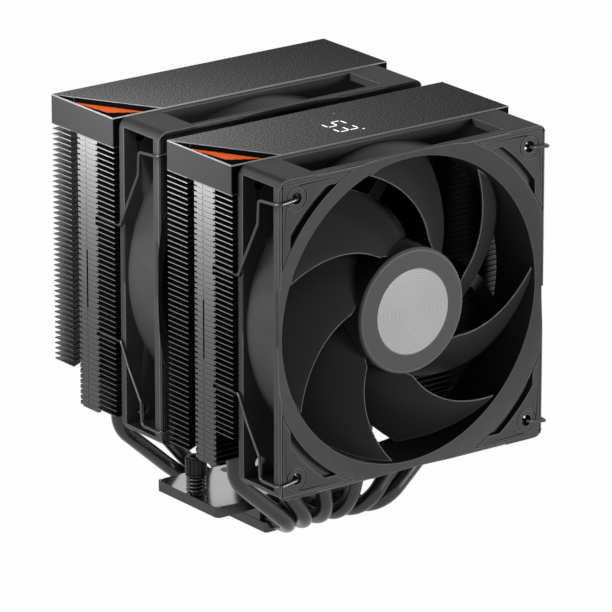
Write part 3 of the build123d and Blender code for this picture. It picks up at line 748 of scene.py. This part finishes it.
def tube_through(name, points, diameter):
    """A round wire through a list of points, as a mesh."""
    curve = bpy.data.curves.new(name, "CURVE")
    curve.dimensions = "3D"
    curve.bevel_depth = diameter / 2
    curve.bevel_resolution = 3
    curve.use_fill_caps = True
    spline = curve.splines.new("POLY")
    spline.points.add(len(points) - 1)
    for place, point in zip(spline.points, points):
        place.co = (*point, 1)
    holder = bpy.data.objects.new(name, curve)
    bpy.context.scene.collection.objects.link(holder)
    pick(holder)
    bpy.ops.object.convert(target="MESH")
    piece = bpy.context.object
    smooth(piece, 45)
    return piece


def bent_path(corners, radius, steps=6):
    """Straight runs between corners, with each corner rounded."""
    path = [corners[0]]
    for before, corner, after in zip(corners, corners[1:], corners[2:]):
        back = (before - corner).normalized()
        onward = (after - corner).normalized()
        setback = radius / math.tan(back.angle(onward) / 2)
        start, end = corner + back * setback, corner + onward * setback
        for step in range(steps + 1):
            t = step / steps
            path.append(start * (1 - t) ** 2 + corner * 2 * t * (1 - t) + end * t ** 2)
    return path + [corners[-1]]


# ---------------------------------------------------------------- fin stacks
def notch_cutter():
    """The slanted slot behind the folded wall, on the left."""
    lead = NOTCH_SLANT * OVER / NOTCH_DEPTH
    low = (-FIN_HALF_WIDTH - OVER, WALL_BACK - lead, -OVER)
    high = (-FIN_HALF_WIDTH + NOTCH_DEPTH, WALL_BACK - lead + NOTCH_WIDTH, OVER)
    cutter = add_block("notch_cutter", low, high)
    move_faces(cutter, (1, 0, 0), (0, NOTCH_SLANT + lead, 0))
    return cutter


def folded_edge(entry):
    """The tab folded down at the left end of a fin, with wider slits where a wire enters."""
    outer, inner = -FIN_HALF_WIDTH, -FIN_HALF_WIDTH + WALL_T
    foot = -(FIN_PITCH - FIN_T) + SEAM
    tab = add_block("folded_edge", (outer, WALL_FRONT, foot), (inner, WALL_BACK, TAB_OVERLAP))
    front_high = foot + (ENTRY_TALLER if entry else 1) * SLIT_H
    front_long = (ENTRY_LONGER if entry else 1) * SLIT_FRONT
    rear = add_block("rear_slit", (outer - OVER, WALL_BACK - SLIT_REAR, foot - OVER),
                     (inner + OVER, WALL_BACK + OVER, foot + SLIT_H))
    front = add_block("front_slit", (outer - OVER, WALL_FRONT - OVER, foot - OVER),
                      (inner + OVER, WALL_FRONT + front_long, front_high))
    middle = add_block("middle_slit", (outer - OVER, SEAM_LINE, foot + SEAM_LINE_MARGIN),
                       (inner + OVER, SEAM_LINE + SEAM_LINE_T, -SEAM_LINE_MARGIN))
    move_faces(front, (0, 0, -1), (0, SLIT_SLANT, 0))
    move_faces(middle, (0, 0, 1), (0, SEAM_LINE_T, 0))
    for cutter in (rear, front, middle):
        combine(tab, cutter, "DIFFERENCE")
    return tab


def one_fin(level, cut_front=None, cut_back=None):
    """The fin at one level, at its real height, in a tower that starts at y = 0.

    The part between cut_front and cut_back is left out if they are given.
    """
    base = STACK_BOTTOM + FIN_PITCH * (level + 1) - FIN_T
    fin = add_block("fin", (-FIN_HALF_WIDTH, 0, 0), (FIN_HALF_WIDTH, TOWER_DEPTH, FIN_T))
    left_notch = notch_cutter()
    right_notch = copied(left_notch, mirror=True)
    combine(fin, left_notch, "DIFFERENCE")
    combine(fin, right_notch, "DIFFERENCE")
    if cut_front is not None:
        combine(fin, add_block("short_cutter", (-2 * FAN_HALF, cut_front, -OVER),
                               (2 * FAN_HALF, cut_back, OVER)), "DIFFERENCE")
    wire_top = AXIS_HEIGHT + WIRE_HIGH
    wire_foot = AXIS_HEIGHT + WIRE_LOW
    to_wire = min(abs(base - wire_top), abs(base - wire_foot))
    tab = folded_edge(to_wire < FIN_PITCH * ENTRY_NEAR and base > wire_foot)
    combine(fin, copied(tab, mirror=True), "UNION")
    combine(fin, tab, "UNION")
    slot_low = max(SLOT_LOW - base, -FIN_PITCH)
    slot_high = min(SLOT_HIGH - base, FIN_PITCH)
    room = WIRE_D / 2 + WIRE_GAP
    for side in (-1, 1):
        if slot_high > -FIN_PITCH and slot_low < FIN_T:
            edges = sorted((side * (FIN_HALF_WIDTH - 2 * WALL_T), side * (FIN_HALF_WIDTH + OVER)))
            slot = add_block("slot_cutter", (edges[0], SLOT_MIDDLE - SLOT_WIDTH / 2, slot_low),
                             (edges[1], SLOT_MIDDLE + SLOT_WIDTH / 2, slot_high))
            combine(fin, slot, "DIFFERENCE")
        if wire_foot < base < wire_top - FIN_T:
            channel = add_block("channel_cutter",
                                (side * WIRE_X - room, WIRE_DEEP - 2 * room, -OVER),
                                (side * WIRE_X + room, WIRE_DEEP + room, OVER))
            combine(fin, channel, "DIFFERENCE")
    fin.data.transform(Matrix.Translation((0, 0, base)))
    return fin


def fin_stack(tower):
    """All the fins of one tower; the lowest ones are cut short on its outer face."""
    outer = {"front": (-OVER, WALL_FRONT), "rear": (WALL_BACK, TOWER_DEPTH + OVER)}
    cut_front, cut_back = outer[tower]
    fins = [one_fin(level, cut_front, cut_back) for level in range(SHORT_FINS)]
    fins += [copied(full_fins[level]) for level in range(SHORT_FINS, FIN_COUNT)]
    stack = joined(tower + "_fins", fins)
    stack.data.transform(Matrix.Translation((0, TOWER_FRONT[tower], 0)))
    return dress(stack, tower + "_fin_stack")


# ---------------------------------------------------------------- wires, springs and ridges
def wire_clip(fan, side_name, side):
    """The spring-steel clip that holds a fan against its fins."""
    half = HOLE_OFFSET
    leaves, deep = FAN_DEPTH - WIRE_LEAVES, FAN_DEPTH + WIRE_DEEP
    corners = [
        (half, WIRE_TIP, half), (half, WIRE_FRONT, half),
        (WIRE_X, WIRE_FRONT, half - WIRE_FRONT_DROP),
        (WIRE_X, SHOULDER[0], half + SHOULDER[1]), (WIRE_X, ELBOW[0], half + ELBOW[1]),
        (WIRE_X, leaves, WIRE_HIGH), (WIRE_X, deep, WIRE_HIGH),
        (WIRE_X, deep, WIRE_LOW), (WIRE_X, leaves, WIRE_LOW),
        (WIRE_X, KNEE[0], WIRE_LOW + KNEE[1]), (WIRE_X, ANKLE[0], -half + ANKLE[1]),
        (WIRE_X, HEEL[0], -half + HEEL[1]), (WIRE_X, WIRE_FRONT, -half + HEEL[1]),
        (half, WIRE_FRONT, -half), (half, WIRE_TIP, -half)]
    place = Vector((0, FAN_FRONT[fan], AXIS_HEIGHT))
    path = bent_path([Vector((side * x, y, z)) + place for x, y, z in corners], WIRE_BEND)
    clip = tube_through(f"{fan}_{side_name}_clip_wire", path, WIRE_D)
    return dress(clip, f"{fan}_{side_name}_wire_clip")


def screw_spring(side_name):
    """A round coil spring under a screw's head, as tall as the CAD spring."""
    node = side_name + "_screw_spring"
    low, high = node_box(node)
    middle = (low + high) / 2
    radius = (SPRING_D - SPRING_WIRE) / 2
    start, rise = low.z + SPRING_WIRE / 2, high.z - low.z - SPRING_WIRE
    steps = SPRING_STEPS * SPRING_TURNS
    points = []
    for step in range(steps + 1):
        angle = 2 * math.pi * SPRING_TURNS * step / steps
        points.append((middle.x + radius * math.cos(angle), middle.y + radius * math.sin(angle),
                       start + rise * step / steps))
    spring = dress(tube_through(side_name + "_coil_spring", points, SPRING_WIRE), node)
    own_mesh(spring)


def flange_ribs(fan):
    """Fine grip ridges on the side faces of a fan's two flanges."""
    rib = add_block("rib", (-FAN_HALF - RIB_PROUD, 0, 0),
                    (-FAN_HALF + RIB_SUNK, RIB_WIDTH, RIB_SHARE * RIB_PITCH))
    pick(rib)
    bpy.ops.object.mode_set(mode="EDIT")
    bpy.ops.mesh.select_all(action="SELECT")
    bpy.ops.mesh.bisect(plane_co=(0, RIB_WIDTH / 2, 0), plane_no=(0, 1, 0))
    bpy.ops.object.mode_set(mode="OBJECT")
    for point in rib.data.vertices:
        if abs(point.co.y - RIB_WIDTH / 2) < 0.01 * MM:
            point.co.z += RIB_BEND * RIB_PITCH
    top = AXIS_HEIGHT + WIRE_HIGH - RIB_BELOW_WIRE
    ribs = []
    for flange in (0, FAN_DEPTH - FLANGE_T):
        y = FAN_FRONT[fan] + flange + (FLANGE_T - RIB_WIDTH) / 2
        for row in range(RIB_COUNT):
            move = (0, y, top - row * RIB_PITCH)
            ribs.append(copied(rib, move))
            ribs.append(copied(rib, move, mirror=True))
    bpy.data.objects.remove(rib)
    piece = joined(fan + "_flange_ribs", ribs)
    piece.data.materials.clear()
    piece.data.materials.append(finishes["fan_plastic"])
    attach(piece, "cooler")


# ---------------------------------------------------------------- display
def lit_strokes(grow):
    """The strokes of a five and a three that read from the left-hand side, grown by a margin.

    Strokes are lettered a to g as usual: a, g and d lie across the digit, from its top down.
    """
    top = node_box("front_cover")[1].z
    strokes = []
    for letters, place in (("afgcd", DIGIT_PITCH / 2), ("abgcd", -DIGIT_PITCH / 2)):
        for letter in letters:
            if letter in "agd":
                x, y = DIGIT_HALF * (1 - "agd".index(letter)), 0
                size = (STROKE, DIGIT_WIDE - STROKE - 2 * STROKE_BREAK)
            else:
                x = DIGIT_HALF / 2 * (1 if letter in "fb" else -1)
                y = DIGIT_WIDE / 2 * (1 if letter in "fe" else -1)
                size = (DIGIT_HALF - STROKE - 2 * STROKE_BREAK, STROKE)
            x, y = DIGITS_X + x, TOWER_FRONT["front"] + DIGITS_Y + place + y
            across, along = size[0] / 2 + grow, size[1] / 2 + grow
            strokes.append(add_block("stroke", (x - across, y - along, top - ROOF_T - grow),
                                     (x + across, y + along, top + grow)))
    return strokes


def window_block(over):
    """The part of the roof around the digits, taller by a margin."""
    top = node_box("front_cover")[1].z
    y = TOWER_FRONT["front"] + DIGITS_Y
    return add_block("window", (DIGITS_X - WINDOW[0], y - WINDOW[1], top - ROOF_T - over),
                     (DIGITS_X + WINDOW[0], y + WINDOW[1], top + over))


def display():
    """The lit digits, with the point and the degree mark as they are in the CAD."""
    marks = node_copy("display_segments", "lit_digits")
    shape = bmesh.new()
    shape.from_mesh(marks.data)
    y = TOWER_FRONT["front"] + DIGITS_Y
    inside = [point for point in shape.verts
              if abs(point.co.x - DIGITS_X) < WINDOW[0] and abs(point.co.y - y) < WINDOW[1]]
    bmesh.ops.delete(shape, geom=inside, context="VERTS")
    shape.to_mesh(marks.data)
    shape.free()
    marks.data.materials.append(lit("degree_mark_amber", (0.30, 0.17, 0.09), 0.4, 0.1,
                                    (0.55, 0.30, 0.14), 0.45))
    for face in marks.data.polygons:
        face.material_index = 1 if face.center.y > y + WINDOW[1] else 0
    strokes = lit_strokes(0)
    for stroke in strokes:
        stroke.data.materials.append(finishes["lit_segments"])
    stand_for(joined("lit_digits", [marks] + strokes), "display_segments")


def refit_window(cover):
    """Gives the roof of the front cover a pocket for each lit stroke."""
    combine(cover, window_block(OVER), "DIFFERENCE")
    plate = window_block(0)
    plate.data.materials.append(cover.data.materials[0])
    for cutter in lit_strokes(STROKE_GAP):
        combine(plate, cutter, "DIFFERENCE")
    smooth(joined(cover.name, [cover, plate]))


# ---------------------------------------------------------------- the whole scene
bpy.context.scene.view_settings.view_transform = "Standard"
add_camera()
set_world()
add_floor()
for softbox in SOFTBOXES:
    add_softbox(*softbox)

finishes = finish_set()
for part in record["subparts"]:
    cad = nodes[part["node"]]
    cad.data.materials.clear()
    cad.data.materials.append(finishes[part["material_slot"]])
nodes["rear_cover"].data.materials[0] = cover_plastic("rear_cover")

full_fins = {level: one_fin(level) for level in range(SHORT_FINS, FIN_COUNT)}
for tower in TOWERS:
    fin_stack(tower)
for fin in full_fins.values():
    bpy.data.objects.remove(fin)

# painted highlights: the rounded edges take lighter colours than the faces beside them
frame_highlight = edge_highlight_plastic("fan_frame_highlights", (0.17, 0.17, 0.172))
blade_highlight = edge_highlight_plastic("blade_highlights", (0.16, 0.16, 0.162))
cover_highlight = edge_highlight_plastic("cover_highlights", (0.42, 0.42, 0.425))
for fan in FANS:
    softened(fan + "_fan_frame", 0.25 * MM, edge=frame_highlight)
    softened(fan + "_impeller", 0.4 * MM, 3, 40, edge=blade_highlight)
    flange_ribs(fan)
    for side_name, side in SIDES:
        wire_clip(fan, side_name, side)
for side_name, side in SIDES:
    screw_spring(side_name)
    softened(side_name + "_screw_sleeve", 0.15 * MM)
board_low, board_high = node_box("display_board")
above_board = (board_low, board_high + Vector((0, 0, 10 * MM)))     # its edges stay sharp
softened("rear_cover", 0.15 * MM, edge=cover_highlight)
refit_window(softened("front_cover", 0.15 * MM, edge=cover_highlight, spare=above_board))
display()
softened("mounting_bar", 0.25 * MM)
softened("base_block", 0.3 * MM)
softened("cold_plate", 0.3 * MM)
for pipe in range(1, PIPE_COUNT + 1):
    softened(f"heat_pipe_{pipe}", 0)
